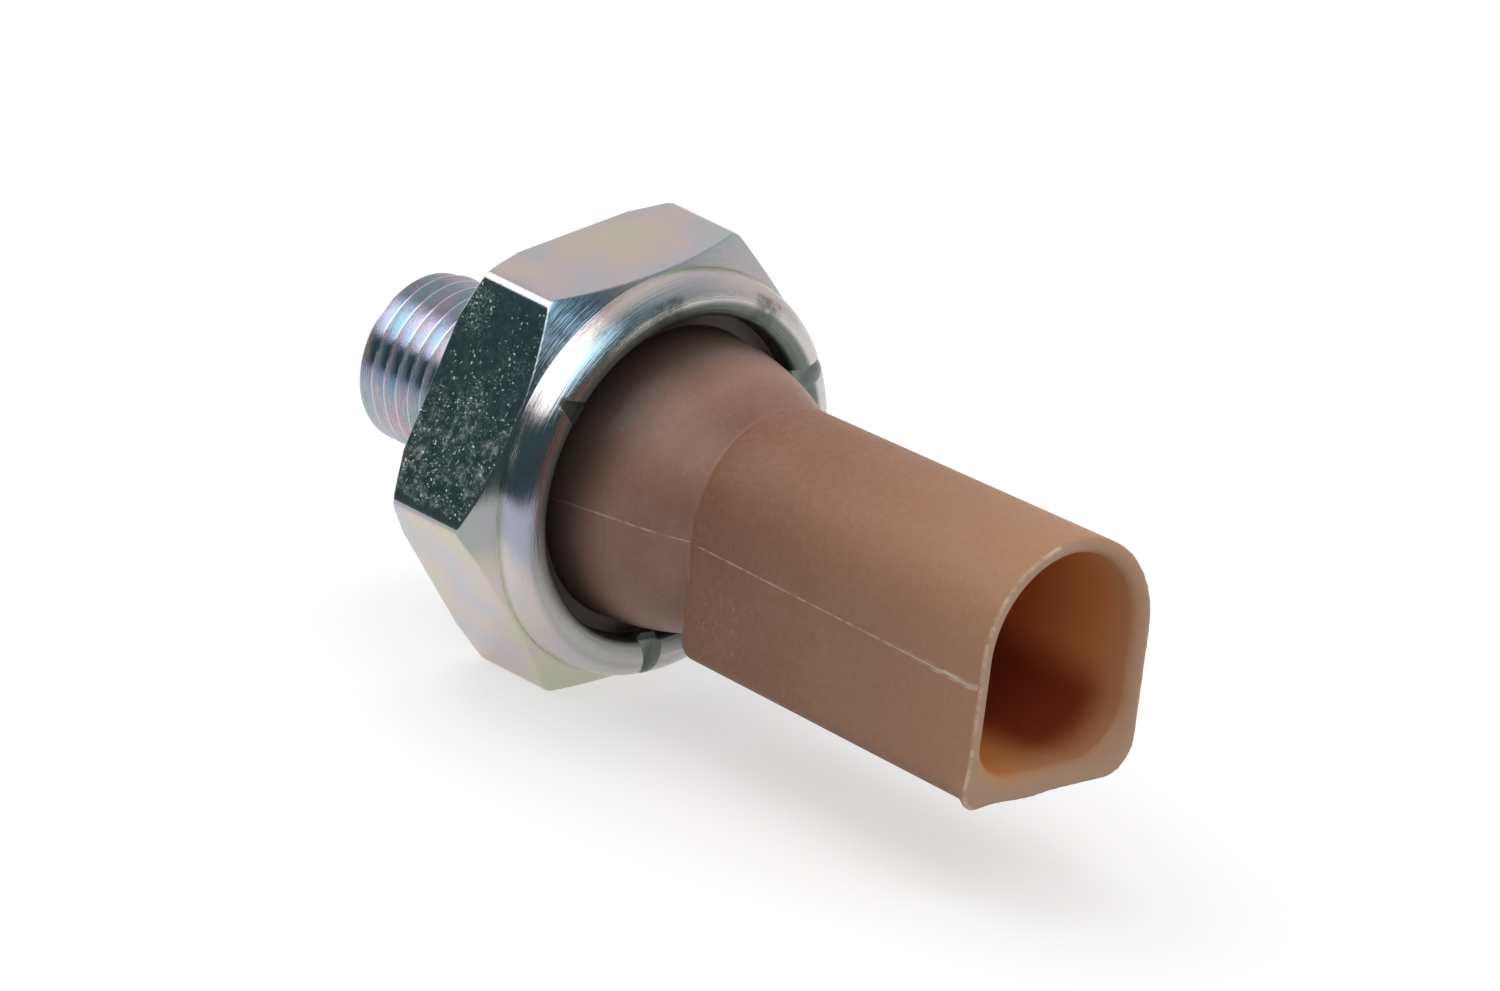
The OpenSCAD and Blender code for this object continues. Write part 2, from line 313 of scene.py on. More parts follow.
def mix_colour(nodes, links, factor, first, second, blend="MIX"):
    node = nodes.new("ShaderNodeMix")
    node.data_type = "RGBA"
    node.blend_type = blend
    colour_a = [s for s in node.inputs if s.name == "A" and s.type == "RGBA"][0]
    colour_b = [s for s in node.inputs if s.name == "B" and s.type == "RGBA"][0]
    for socket, value in ((node.inputs[0], factor), (colour_a, first), (colour_b, second)):
        if isinstance(value, (int, float)):
            socket.default_value = value
        elif isinstance(value, tuple):
            socket.default_value = (*value, 1)
        else:
            links.new(value, socket)
    return [s for s in node.outputs if s.type == "RGBA"][0]


def bump(nodes, links, height, strength, distance, under=None):
    node = add(nodes, "ShaderNodeBump", Strength=strength, Distance=distance)
    links.new(height, node.inputs["Height"])
    if under is not None:
        links.new(under, node.inputs["Normal"])
    return node.outputs["Normal"]


def plated_steel():
    """Zinc plate with a thin passivation that shifts between pink, lilac, blue and yellow-green. The drawn
    flats are pitted, the collar and chamfers are turned, and the lip is matt where the tool rolled it. Painted shade
    darkens the rolled band round most of the ring, the lip's inner edge and the stake at 302.5 degrees, and one flat
    carries a painted dark reflection."""
    made, nodes, links, shader = material("plated_steel")
    where, x, reach, angle, streaks = turned(nodes, links)
    drift = noise_map(nodes, links, where, 0.17, 2, 0.4)
    tint = ramp(nodes, links, drift, [
        (0.34, (0.52, 0.61, 0.63)),
        (0.42, (0.58, 0.57, 0.66)),
        (0.50, (0.67, 0.58, 0.58)),
        (0.58, (0.65, 0.63, 0.53)),
        (0.68, (0.57, 0.62, 0.54)),
    ])
    calm = product(nodes, links, span(nodes, links, x, 8.5, 8.7, 0, 1, True), 0.65)
    tint = mix_colour(nodes, links, calm, tint, (0.63, 0.60, 0.62))
    on_stud = span(nodes, links, x, 0.2, -0.2, 0, 0.8, True)
    tint = mix_colour(nodes, links, on_stud, tint, ramp(nodes, links, noise_map(nodes, links, where, 0.6, 2, 0.5), [
        (0.38, (0.44, 0.60, 0.68)), (0.50, (0.54, 0.60, 0.72)), (0.60, (0.66, 0.58, 0.68))]))
    # The rolled band at the lip is matt. Its colour is dark round most of the ring, which is painted shade, and pale
    # grey-green at the lower left.
    above = span(nodes, links, x, 9.3, 9.6, 0, 1)
    band = product(nodes, links, above, span(nodes, links, reach, 10.65, 10.3, 0, 1, True))
    matt = product(
        nodes, links, above, span(nodes, links, reach, 11.2, 10.6, 0, 0.8, True),
        near_angle(nodes, links, angle, 215, 25, 60))
    band = math_node(nodes, links, "MAXIMUM", band, matt)
    band_colour_and_shade = mix_colour(nodes, links, matt, (0.20, 0.25, 0.23), (0.78, 0.81, 0.77))
    colour = mix_colour(nodes, links, product(nodes, links, band, 0.85), tint, band_colour_and_shade)
    struck = share(nodes, "struck")
    # Painted shade: the stake at 302.5 degrees is coloured near black, while the others keep the struck steel's matt
    # grey-green.
    shaded_stake = near_angle(nodes, links, angle, 302.5, 20, 40)
    struck_colour_and_shade = mix_colour(nodes, links, shaded_stake, (0.54, 0.62, 0.57), (0.12, 0.115, 0.10))
    colour = mix_colour(nodes, links, product(nodes, links, struck, 0.9), colour, struck_colour_and_shade)
    smudge = noise_map(nodes, links, where, 1.6, 3, 0.6)
    smudge = span(nodes, links, smudge, 0.30, 0.62, 0.15, 0.75, True)
    ring_zone = product(nodes, links, above, span(nodes, links, reach, 11.4, 11.1, 0, 1, True))
    for spot in smudge_angles:
        mask = product(nodes, links, ring_zone, smudge, near_angle(nodes, links, angle, spot, 1.5, 8))
        colour = mix_colour(nodes, links, mask, colour, (0.12, 0.15, 0.13))
    foot = product(
        nodes, links, span(nodes, links, x, 8.5, 8.62, 0, 1, True), span(nodes, links, x, 9.15, 8.85, 0, 1, True),
        span(nodes, links, reach, 11.4, 11.7, 0, 1, True))
    arcs = math_node(
        nodes, links, "MAXIMUM", near_angle(nodes, links, angle, 15, 10, 32),
        product(nodes, links, near_angle(nodes, links, angle, 240, 25, 60), 0.6))
    colour = mix_colour(nodes, links, product(nodes, links, foot, arcs, 0.8), colour, (0.44, 0.51, 0.30))
    # Painted shade: the lip's inner edge, and a wider strip of it round 280 degrees, is coloured near black.
    inside = math_node(
        nodes, links, "MAXIMUM", span(nodes, links, reach, lip_r + 0.2, lip_r + 0.05, 0, 1, True),
        product(
            nodes, links, span(nodes, links, reach, lip_r + 0.55, lip_r + 0.15, 0, 1, True),
            near_angle(nodes, links, angle, 280, 25, 50)))
    inside = product(nodes, links, above, inside)
    colour = mix_colour(nodes, links, product(nodes, links, inside, 0.85), colour, (0.05, 0.06, 0.05))
    oxide = math_node(nodes, links, "MAXIMUM", product(nodes, links, band, 0.3), product(nodes, links, struck, 0.65))
    links.new(math_node(nodes, links, "SUBTRACT", 1, oxide), shader.inputs["Metallic"])
    brushed = noise_map(nodes, links, streaks, 9.0, 4, 0.6)
    face = nodes.new("ShaderNodeSeparateXYZ")
    links.new(nodes.new("ShaderNodeTexCoord").outputs["Normal"], face.inputs[0])
    flat = math_node(nodes, links, "ABSOLUTE", face.outputs["X"], 0)
    flat = product(
        nodes, links, span(nodes, links, flat, 0.1, 0.4, 1, 0), span(nodes, links, reach, 11.4, 11.8, 0, 1),
        span(nodes, links, x, 8.5, 8.6, 1, 0))
    gloss = span(nodes, links, brushed, 0.3, 0.7, 0.09, 0.17)
    gloss = math_node(nodes, links, "ADD", gloss, product(nodes, links, band, 0.32))
    gloss = math_node(nodes, links, "ADD", gloss, product(nodes, links, struck, 0.25))
    worn = span(nodes, links, noise_map(nodes, links, where, 0.35, 3, 0.6), 0.42, 0.68, 0, 1, True)
    # The flat at 291.7 degrees is pitted and hazed. Its dark green colour, and a little of it on the other flats, is a
    # painted dark reflection.
    pitted_face_and_dark_reflection = math_node(nodes, links, "MAXIMUM", near_angle(nodes, links, angle, 291.7, 26.5, 28.5), 0.12)
    pitted_face_and_dark_reflection = product(nodes, links, flat, pitted_face_and_dark_reflection)
    colour = mix_colour(nodes, links, product(nodes, links, pitted_face_and_dark_reflection, 0.8), colour, (0.31, 0.43, 0.39))
    low = near_angle(nodes, links, angle, 265, 5, 35)
    haze = product(
        nodes, links, pitted_face_and_dark_reflection, span(nodes, links, low, 0, 1, 0.35, 1),
        span(nodes, links, noise_map(nodes, links, where, 1.5, 6, 0.8), 0.38, 0.72, 0, 1, True))
    colour = mix_colour(nodes, links, product(nodes, links, haze, 0.8), colour, (0.66, 0.62, 0.63))
    links.new(colour, shader.inputs["Base Color"])
    flecks = span(nodes, links, noise_map(nodes, links, where, 5.0, 3, 0.65), 0.50, 0.66, 0, 1)
    flecks = product(nodes, links, pitted_face_and_dark_reflection, flecks, span(nodes, links, worn, 0, 1, 0.3, 1))
    gloss = math_node(nodes, links, "ADD", gloss, product(nodes, links, haze, 0.28))
    links.new(gloss, shader.inputs["Roughness"])
    turned_lines = product(
        nodes, links, brushed, span(nodes, links, flat, 0, 1, 1, 0.15), span(nodes, links, x, 8.5, 8.7, 0.85, 1))
    lines = bump(nodes, links, turned_lines, 1.0, 0.00004)
    warp = add(nodes, "ShaderNodeTexNoise", Scale=4.0, Detail=2.0)
    links.new(where, warp.inputs["Vector"])
    bent = add(nodes, "ShaderNodeVectorMath", operation="SCALE", Scale=0.45)
    links.new(warp.outputs["Color"], bent.inputs[0])
    moved = nodes.new("ShaderNodeVectorMath")
    links.new(where, moved.inputs[0])
    links.new(bent.outputs["Vector"], moved.inputs[1])
    dots = add(nodes, "ShaderNodeTexVoronoi", Scale=5.2)
    links.new(moved.outputs["Vector"], dots.inputs["Vector"])
    chosen = nodes.new("ShaderNodeSeparateXYZ")
    links.new(dots.outputs["Color"], chosen.inputs[0])
    limit = span(nodes, links, math_node(nodes, links, "MAXIMUM", worn, low), 0, 1, 0.86, 0.50)
    size = span(nodes, links, chosen.outputs["Y"], 0, 1, 0.08, 0.42)
    cone = math_node(nodes, links, "SUBTRACT", size, dots.outputs["Distance"])
    bead = product(
        nodes, links, math_node(nodes, links, "MAXIMUM", cone, 0), 2.6,
        math_node(nodes, links, "GREATER_THAN", chosen.outputs["X"], limit), pitted_face_and_dark_reflection)
    rough = math_node(nodes, links, "ADD", product(nodes, links, flecks, 0.08), product(nodes, links, bead, 0.45))
    links.new(bump(nodes, links, rough, 1.0, 0.00008, lines), shader.inputs["Normal"])
    return made


def brown_plastic():
    """Filled polyamide: satin and a little translucent. The socket's thin walls look lighter towards the mouth, and
    the rim and the parting line are pale. Within the socket the orange colour is painted light and shade, the root of
    the neck carries painted shade from the lip, and the neck's lighter scuffs and mottle are partly a painted sheen."""
    made, nodes, links, shader = material("brown_plastic")
    where, x, reach, angle, streaks = turned(nodes, links)
    along = span(nodes, links, x, socket_back - 0.4, mouth, 0, 1)
    cloud = noise_map(nodes, links, where, 0.22, 3, 0.5)
    neck_tone = ramp(nodes, links, cloud, [(0.35, (0.320, 0.162, 0.110)), (0.65, (0.375, 0.200, 0.142))])
    near_tone = ramp(nodes, links, cloud, [(0.35, (0.250, 0.104, 0.056)), (0.65, (0.282, 0.126, 0.072))])
    colour = mix_colour(nodes, links, along, near_tone, (0.49, 0.26, 0.145))
    on_socket = span(nodes, links, x, socket_back - 0.15, socket_back + 0.15, 0, 1, True)
    colour = mix_colour(nodes, links, on_socket, neck_tone, colour)
    hollow = share(nodes, "hollow")
    # Painted light and shade within the socket: an orange glow, lighter towards the mouth where light comes through the
    # thin walls, and darker deeper in.
    deep = span(nodes, links, x, 26.0, 39.5, 0, 1, True)
    glow = mix_colour(nodes, links, deep, (0.55, 0.125, 0.032), (0.82, 0.36, 0.125))
    sides = nodes.new("ShaderNodeSeparateXYZ")
    links.new(where, sides.inputs[0])
    # Painted shade: a dark red-brown lower corner on the +Y side, from about 1 mm within the mouth.
    corner = product(
        nodes, links, span(nodes, links, sides.outputs["Y"], -1.5, 2.2, 0, 1, True),
        span(nodes, links, sides.outputs["Z"], -0.6, -3.8, 0, 1, True),
        span(nodes, links, x, mouth - 1.0, mouth - 3.6, 0, 0.92, True))
    # Painted light: a lit orange patch on the floor on the -Y side.
    lit_floor = product(
        nodes, links, span(nodes, links, sides.outputs["Y"], 0.5, -3.5, 0, 1, True),
        span(nodes, links, sides.outputs["Z"], -3.4, -5.2, 0, 0.9, True))
    # Painted light: a paler glow through the thin wall near the mouth.
    thin_edge = span(nodes, links, x, mouth - 4.0, mouth - 0.5, 0, 0.95, True)
    glow = mix_colour(nodes, links, thin_edge, glow, (0.68, 0.37, 0.195))
    glow = mix_colour(nodes, links, lit_floor, glow, (0.92, 0.42, 0.13))
    glow = mix_colour(nodes, links, corner, glow, (0.34, 0.058, 0.018))
    colour = mix_colour(nodes, links, hollow, colour, glow)
    dash = noise_map(nodes, links, where, 1.6, 4, 0.7)
    colour = mix_colour(nodes, links, product(nodes, links, share(nodes, "edge"), 0.65), colour, (0.74, 0.52, 0.37))
    flash = product(nodes, links, share(nodes, "flash"), span(nodes, links, dash, 0.40, 0.60, 0.1, 1))
    colour = mix_colour(nodes, links, flash, colour, (0.84, 0.66, 0.50))
    torn = span(nodes, links, x, mouth - 9.0, mouth - 4.0, 0, 1, True)
    seam = product(nodes, links, share(nodes, "seam"), math_node(
        nodes, links, "MAXIMUM", span(nodes, links, dash, 0.38, 0.55, 0.12, 0.8), product(nodes, links, torn, 0.75)))
    colour = mix_colour(nodes, links, seam, colour, mix_colour(
        nodes, links, torn, (0.72, 0.57, 0.45), (0.86, 0.72, 0.58)))
    outside = math_node(nodes, links, "SUBTRACT", 1, hollow)
    dust = span(nodes, links, noise_map(nodes, links, where, 7.0, 2, 0.5), 0.69, 0.76, 0, 0.35)
    colour = mix_colour(nodes, links, product(nodes, links, dust, outside), colour, (0.62, 0.52, 0.45))
    scuffs = span(nodes, links, noise_map(nodes, links, where, 0.45, 2, 0.5), 0.54, 0.70, 0.1, 1, True)
    scratch_and_sheen_streaks = span(nodes, links, noise_map(nodes, links, streaks, 7.0, 3, 0.6), 0.56, 0.76, 0, 0.22)
    mottle_and_sheen = span(nodes, links, noise_map(nodes, links, where, 2.4, 4, 0.65), 0.42, 0.72, 0, 0.09)
    rubbed = product(
        nodes, links, near_angle(nodes, links, angle, 240, 4, 16), span(nodes, links, x, 18.6, 19.8, 0, 1, True),
        span(nodes, links, x, 24.0, 22.0, 0, 1, True))
    scuffs = math_node(nodes, links, "MAXIMUM", scuffs, product(nodes, links, rubbed, 2.0))
    # The lighter mottle and streaks are partly scuffs and scratches and partly a painted sheen.
    marks = math_node(nodes, links, "ADD", mottle_and_sheen, product(nodes, links, scratch_and_sheen_streaks, scuffs))
    colour = mix_colour(nodes, links, product(nodes, links, marks, outside), colour, (0.62, 0.50, 0.43))
    # Painted shade: the neck is darkened next to the lip, over a wider band on the top side where the lip hides more of
    # it.
    shaded = math_node(nodes, links, "MAXIMUM", math_node(nodes, links, "COSINE", angle, 0), 0)
    behind = math_node(nodes, links, "SUBTRACT", x, product(nodes, links, shaded, 2.0))
    root = span(nodes, links, behind, 9.8, 13.4, 0.85, 0, True)
    colour = mix_colour(nodes, links, root, colour, (0.040, 0.030, 0.025))
    links.new(colour, shader.inputs["Base Color"])
    grain = noise_map(nodes, links, where, 3.0, 4, 0.65)
    satin = span(nodes, links, grain, 0.3, 0.7, 0.30, 0.44)
    links.new(math_node(nodes, links, "ADD", satin, product(nodes, links, on_socket, 0.14)), shader.inputs["Roughness"])
    shader.inputs["Specular IOR Level"].default_value = 0.4
    shader.inputs["Subsurface Weight"].default_value = 0.4
    shader.inputs["Subsurface Radius"].default_value = (1.0, 0.35, 0.12)
    shader.inputs["Subsurface Scale"].default_value = 0.001
    links.new(bump(nodes, links, grain, 0.4, 0.00004), shader.inputs["Normal"])
    return made


def plain_material(name, colour, metallic, rough, scale=900, relief=0.00002):
    """A simple stock material with cloudy colour, uneven gloss and a fine surface."""
    made, nodes, links, shader = material(name)
    where = place(nodes)
    cloud = noise_map(nodes, links, where, scale, 3, 0.55)
    dark = tuple(c * 0.86 for c in colour)
    light = tuple(min(1.0, c * 1.08) for c in colour)
    links.new(ramp(nodes, links, cloud, [(0.3, dark), (0.7, light)]), shader.inputs["Base Color"])
    links.new(span(nodes, links, cloud, 0.3, 0.7, rough - 0.06, rough + 0.06), shader.inputs["Roughness"])
    shader.inputs["Metallic"].default_value = metallic
    links.new(bump(nodes, links, cloud, 0.3, relief), shader.inputs["Normal"])
    return made


# Steel body
def hex_radius(angle):
    """Distance from the axis to the hexagon's side, with rounded corners."""
    off = abs((angle - hex_turn + 30) % 60 - 30)
    centre = 2 / math.sqrt(3) * (hex_half - hex_corner)
    tangent = math.degrees(math.atan2(hex_corner * 0.5, centre + hex_corner * math.cos(math.radians(30))))
    if off >= tangent:
        return hex_half / math.cos(math.radians(30 - off))
    a = math.radians(off)
    return centre * math.cos(a) + math.sqrt(hex_corner ** 2 - (centre * math.sin(a)) ** 2)


def hex_angles():
    """Angles of the columns: fine across the rounded corners, wider along the flats."""
    fine, wide = 8, 36
    edge = 2.0
    angles = []
    for side in range(6):
        corner = hex_turn + 60 * side
        angles += [corner - edge + 2 * edge * i / fine for i in range(fine)]
        angles += [corner + edge + (60 - 2 * edge) * i / wide for i in range(wide)]
    for stake in stake_tips:
        angles += [stake + 0.25 * i for i in range(-23, 24)]
    return sorted(angle % 360 for angle in angles)


def swell_x(r):
    """Height of the collar's swelling outside at radius r."""
    return hex_top + 0.35 + swell_h * math.sin(math.acos(1 - (collar_r - r) / swell_w))


def staked(x, r, angle):
    """A point of the lip, driven down and inwards where a punch has struck it, and the share it is struck."""
    off, tip_r = min((abs((angle - at + 180) % 360 - 180), tip) for at, tip in stake_tips.items())
    if off > 6 or r > tip_r:
        return x, r, 0.0
    in_lip = (tip_r - r) / (tip_r - lip_r)
    half = 1.3 + 3.5 * in_lip
    struck = min(1.0, max(0.0, (half - off) / 0.5))
    tip_x = swell_x(tip_r)
    floor_here = tip_x + (stake_floor - tip_x) * in_lip + 0.06 * wobble(x, r * 1.5, angle * 0.35) * in_lip
    x -= max(0.0, x - floor_here) * struck
    if r < lip_r + 0.4:
        pushed = min(1.0, max(0.0, (4.6 - off) / 1.5))
        r -= stake_reach * pushed * min(1.0, (lip_r + 0.4 - r) / 0.4)
    return x, r, min(1.0, max(0.0, (half + 0.4 - off) / 0.5))


def hexagon_and_collar():
    reach = hex_radius(hex_turn)
    foot_r = reach - 0.7 / chamfer_slope
    columns, struck = [], []
    for angle in hex_angles():
        side = hex_radius(angle)
        foot_edge = min(foot_r, side - 0.12)
        foot_x = hex_foot + (side - foot_edge) * chamfer_slope
        top_x = hex_top - (side - collar_r) * chamfer_slope
        path = rounded(
            [(hex_foot, port_r), (hex_foot, foot_edge), (foot_x, side), (top_x, side), (hex_top, collar_r),
             (hex_top + 0.35, collar_r)],
            [0.12, 0.16, 0.14, 0.05])
        swell = [
            (hex_top + 0.35 + swell_h * math.sin(a), collar_r - swell_w * (1 - math.cos(a)))
            for a in (math.radians(90 * i / 14) for i in range(1, 15))
        ]
        lip = rounded(
            [swell[-1], (collar_top - 0.04, lip_r + 0.65), (collar_top - 0.22, lip_r + 0.25),
             (collar_top - 0.5, lip_r), (lip_under, lip_r), (lip_under, cavity_r), (shoulder, cavity_r),
             (shoulder, chamber_r), (chamber_floor, chamber_r), (chamber_floor, port_r)],
            [0.3, 0.2, 0.15, 0.08, 0.1, 0.1, 0.1, 0.1])
        edge_points = 21
        rolled = [staked(x, r, angle) for x, r in swell[:-1] + lip[:edge_points]]
        points = [(x, r, 0.0) for x, r in path] + rolled + [(x, r, 0.0) for x, r in lip[edge_points:]]
        columns.append([polar(x, r, angle) for x, r, _ in points])
        struck += [hit for _, _, hit in points]
    return *skin(columns, ring=True), {"struck": struck}


def thread_radius(turn):
    """Radius of a rolled 60 degree thread at a place along the pitch, 0 at the crest's middle."""
    off = abs(turn - round(turn))
    crest, root = 0.055, 0.40
    depth = 0.6
    if off <= crest:
        return stud_r
    if off >= root:
        return stud_r - depth
    return stud_r - depth * (off - crest) / (root - crest)


def stud():
    """The threaded stud: rows follow the helix, and are cut off at the end face and at the undercut."""
    turn_steps = [0.0, 0.05, 0.09, 0.16, 0.24, 0.32, 0.38, 0.44, 0.5, 0.56, 0.62, 0.68, 0.76, 0.84, 0.91, 0.95]
    thread_top = 0.0
    around = 180
    first = math.floor(stud_end / pitch) - 2
    last = math.ceil(thread_top / pitch) + 1
    verts, faces = [], []
    rows = [whole + part for whole in range(first, last) for part in turn_steps]
    columns = []
    for c in range(around + 1):
        lead = c / around
        column = []
        for row in rows:
            x = min(max((row + lead + crest_phase) * pitch, stud_end), thread_top)
            fade = min(1.0, max(0.0, (thread_top - x) / 0.5))
            r = undercut_r + (thread_radius(row) - undercut_r) * fade
            end_r = stud_r - stud_chamfer
            r = min(max(r, end_r - (x - stud_end)), end_r + (x - stud_end))
            column.append(polar(x, r, -360 * lead))
        columns.append(column)
    count = len(rows)
    verts = [point for column in columns for point in column]
    for c in range(around):
        for i in range(count - 1):
            a, b = c * count + i, (c + 1) * count + i
            faces.append((a, a + 1, b + 1, b))
    outside = (verts, faces)
    tube = []
    for c in range(around):
        angle = -360 * c / around
        path = rounded(
            [(stud_end, stud_r - stud_chamfer), (stud_end, port_r + 0.25), (stud_end + 0.25, port_r),
             (hex_foot + 0.05, port_r)], [0.1, 0.1])
        tube.append([polar(x, r, angle) for x, r in path])
    neck = [[polar(x, undercut_r, -360 * c / around) for x in (thread_top, hex_foot + 0.05)] for c in range(around)]
    return [outside, skin(tube), skin(neck)]


# Plastic housing
def d_radius(angle, size, corner_left, corner_right):
    """Distance from the axis to a D outline: half width, round top, flat bottom with rounded corners."""
    half_w, top, drop = size
    s, k = math.sin(math.radians(angle)), math.cos(math.radians(angle))
    corner = corner_right if s > 0 else corner_left
    s = abs(s)
    centre = top - half_w
    root = half_w ** 2 - (centre * s) ** 2
    reach = centre * k + math.sqrt(max(root, 0))
    if reach * k >= centre:
        return reach
    if s > 1e-9:
        reach = half_w / s
        if corner - drop <= reach * k <= centre:
            return reach
    if k < 0:
        reach = -drop / k
        if reach * s <= half_w - corner:
            return reach
    cy, cz = half_w - corner, corner - drop
    along = cy * s + cz * k
    return along + math.sqrt(max(corner ** 2 - (cy ** 2 + cz ** 2 - along ** 2), 0))


def oval_radius(angle, size):
    """Distance from the axis to an oval with its own half width, height above and depth below the axis."""
    half_w, top, drop = size
    s, k = math.sin(math.radians(angle)), math.cos(math.radians(angle))
    half_h, centre = (top + drop) / 2, (top - drop) / 2
    a = (s / half_w) ** 2 + (k / half_h) ** 2
    b = k * centre / half_h ** 2
    c = (centre / half_h) ** 2 - 1
    return (b + math.sqrt(b * b - a * c)) / a


def between(a, b, t):
    return tuple(p + (q - p) * t for p, q in zip(a, b))


def shrunk(size, amount):
    return tuple(value - amount for value in size)


def neck_size(t):
    """Half width, height and depth of the neck, from the flange (0) to the socket (1)."""
    half_w, top, drop = (neck_r + (end - neck_r) * t ** power for end, power in zip(neck_end, (1, 2, 1.5)))
    swell = neck_bulge * math.sin(math.pi * t)
    return half_w + neck_bulge * math.sin(math.pi * t * t), top + 1.2 * swell, drop + 0.8 * swell


def housing_angles():
    angles = [2.5 * i for i in range(144)]
    angles += [128.75 + 2.5 * i for i in range(9)] + [211.25 + 2.5 * i for i in range(9)]
    for seam in (90, 270):
        angles += [seam - 1.8, seam - 0.7, seam + 0.7, seam + 1.8]
    return sorted(angles)


def seam_lift(angle, x):
    """The parting line stands proud by a few hundredths, unevenly."""
    for seam in (90, 270):
        if abs(angle - seam) < 0.2:
            near = min(1.0, max(0.0, (x - mouth + 9) / 6))
            return 0.035 + 0.03 * near + (0.03 + 0.03 * near) * (wobble(x * 0.9, seam, 0) + wobble(x * 3.1, seam, 5))
    return 0.0


def seam_share(angle, x):
    """How pale the parting line is: the line itself, and torn flakes beside it towards the mouth."""
    off = min(abs(angle - 90), abs(angle - 270))
    if off < 0.2:
        return 1.0
    near = min(1.0, max(0.0, (x - mouth + 8) / 5))
    if off < 1:
        return near * min(1.0, max(0.0, 0.5 + 1.8 * wobble(x * 2.2, angle, 1)))
    return near * min(1.0, max(0.0, 2.6 * wobble(x * 2.2, angle, 6) - 0.2)) if off < 2 else 0.0


def mouth_flash(angle, x):
    """Ragged flash round the mouth: fine teeth, and lobes along the bottom on the -Y side."""
    near = max(0.0, 1 - (mouth - x) / 0.9)
    lobe = 0.42 * math.exp(-((angle - 222) / 8) ** 2) + 0.18 * math.exp(-((angle - 195) / 14) ** 2)
    teeth = 0.07 * max(0.0, wobble(angle * 0.12, 3, 0)) + 0.13 * max(0.0, wobble(angle * 0.5, 9, 0))
    return near * (lobe + teeth)


def inside_size(inset):
    half_w, top, drop = shrunk(mouth_size, inset)
    return half_w, top, drop - (bottom_wall - wall) * min(1.0, inset / wall)


def housing():
    columns = []
    shares = {"hollow": [], "edge": [], "flash": [], "seam": []}
    neck_rows = 26
    socket_rows = 36
    spring_r, disc_room = 3.7, 4.8
    hat_room = 6.95
    o_ring = [across("housing_o_ring", side) for side in (0, 1)]
    for angle in housing_angles():
        points, marks = [], []

        def put(x, r, hollow=0.0, edge=0.0, flash=0.0, seam=0.0):
            points.append(polar(x, r, angle))
            marks.append((hollow, edge, flash, seam))

        chamber = rounded(
            [(spring_top, 0), (spring_top, spring_r), (10.75, spring_r), (10.75, disc_room), (8.15, disc_room),
             (8.15, hat_room), (flange_foot, hat_room), (flange_foot, flange_r), (o_ring[0] - 0.1, flange_r),
             (o_ring[0] - 0.1, 9.55), (o_ring[1] + 0.1, 9.55), (o_ring[1] + 0.1, flange_r), (lip_under, flange_r),
             (lip_under, lip_r), (root_x, lip_r), (root_x, neck_r), (lip_under, neck_r)],
            [0.15] * 16)
        for x, r in chamber[:-1]:
            put(x, r)
        for i in range(neck_rows + 1):
            t = i / neck_rows
            x = lip_under + (socket_back - lip_under) * t
            put(x, oval_radius(angle, neck_size(t)) + seam_lift(angle, x), seam=seam_share(angle, x))
        neck_edge = oval_radius(angle, neck_size(1))
        for i in range(6):
            a = math.radians(18 * i)
            inset = back_rim * (1 - math.sin(a))
            x = socket_back + back_rim * (1 - math.cos(a))
            put(x, max(d_radius(angle, shrunk(back_size, inset), *corners_back), neck_edge + 0.02 * i))
        run = mouth - rim - socket_back - back_rim
        for i in range(1, socket_rows + 1):
            t = i / socket_rows
            x = socket_back + back_rim + run * t
            r = d_radius(angle, between(back_size, mouth_size, t), *between(corners_back, corners_mouth, t))
            put(x, r + seam_lift(angle, x) + mouth_flash(angle, x), seam=seam_share(angle, x))
        for i in range(1, 6):
            a = math.radians(18 * i)
            inset = rim * (1 - math.cos(a))
            x = mouth - rim + rim * math.sin(a)
            r = d_radius(angle, shrunk(mouth_size, inset), *corners_mouth)
            flash = 1.0 if i in (2, 3, 4) and 215 < angle < 350 else 0.0
            put(x, r + mouth_flash(angle, x), edge=i / 5, flash=flash)
        for i in range(8):
            a = math.radians(90 * i / 7)
            inset = wall - inner_rim * (1 - math.sin(a))
            corners = between(corners_mouth, corners_inside, inset / wall)
            x = mouth - inner_rim * (1 - math.cos(a))
            put(x, d_radius(angle, inside_size(inset), *corners), hollow=i / 7, edge=1 - i / 7)
        inner_mouth = inside_size(wall)
        inner_floor = shrunk(inner_mouth, 0.35)
        for i in range(1, 13):
            t = i / 12
            x = mouth - inner_rim + (socket_floor + 0.5 - mouth + inner_rim) * t
            put(x, d_radius(angle, between(inner_mouth, inner_floor, t), *corners_inside), hollow=1.0)
        for i in range(1, 5):
            a = math.radians(22.5 * i)
            r = d_radius(angle, shrunk(inner_floor, 0.5 * (1 - math.cos(a))), *corners_inside)
            put(socket_floor + 0.5 * (1 - math.sin(a)), r, hollow=1.0)
        put(socket_floor, 1.0, hollow=1.0)
        put(socket_floor, 0, hollow=1.0)
        columns.append(points)
        for key, values in zip(shares, zip(*marks)):
            shares[key] += values
    return *skin(columns), shares


